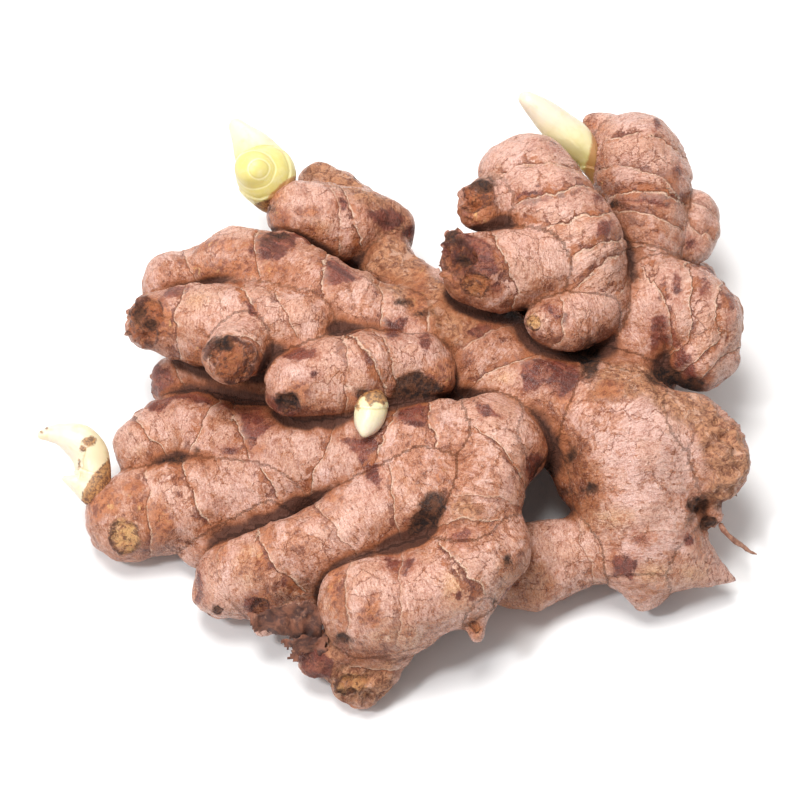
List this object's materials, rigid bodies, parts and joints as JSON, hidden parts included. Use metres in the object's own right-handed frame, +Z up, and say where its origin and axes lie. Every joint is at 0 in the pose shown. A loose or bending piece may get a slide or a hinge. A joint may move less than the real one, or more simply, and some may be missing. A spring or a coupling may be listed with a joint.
{
  "type": "ginger root",
  "caption": "Branching hand of fresh ginger: knobbly fingers fanned from a thick trunk, with pale young shoots and a dry rootlet, lying flat on its underside.",
  "frame": {"origin": "middle of the object's footprint, on the surface it lies on", "axes": "+X towards the old body with the broken scar, along the longest extent, so the four front fingers point to -X; +Y towards the back fans that carry the two upper shoots; +Z up"},
  "size_m": [0.1784, 0.1526, 0.0571],
  "materials": {
    "ginger_skin": "thin papery skin, satin, pinkish tan with brown node scars and soil in the creases",
    "shoot_flesh": "smooth waxy shoot, cream to yellow-green",
    "dry_root": "dry brown root fibre, matt"
  },
  "bodies": {
    "root": {"rhizome": "ginger_skin", "shoot_upper_left": "shoot_flesh", "shoot_upper_right": "shoot_flesh", "shoot_left": "shoot_flesh", "shoot_small": "shoot_flesh", "rootlet": "dry_root"}
  },
  "joints": []
}
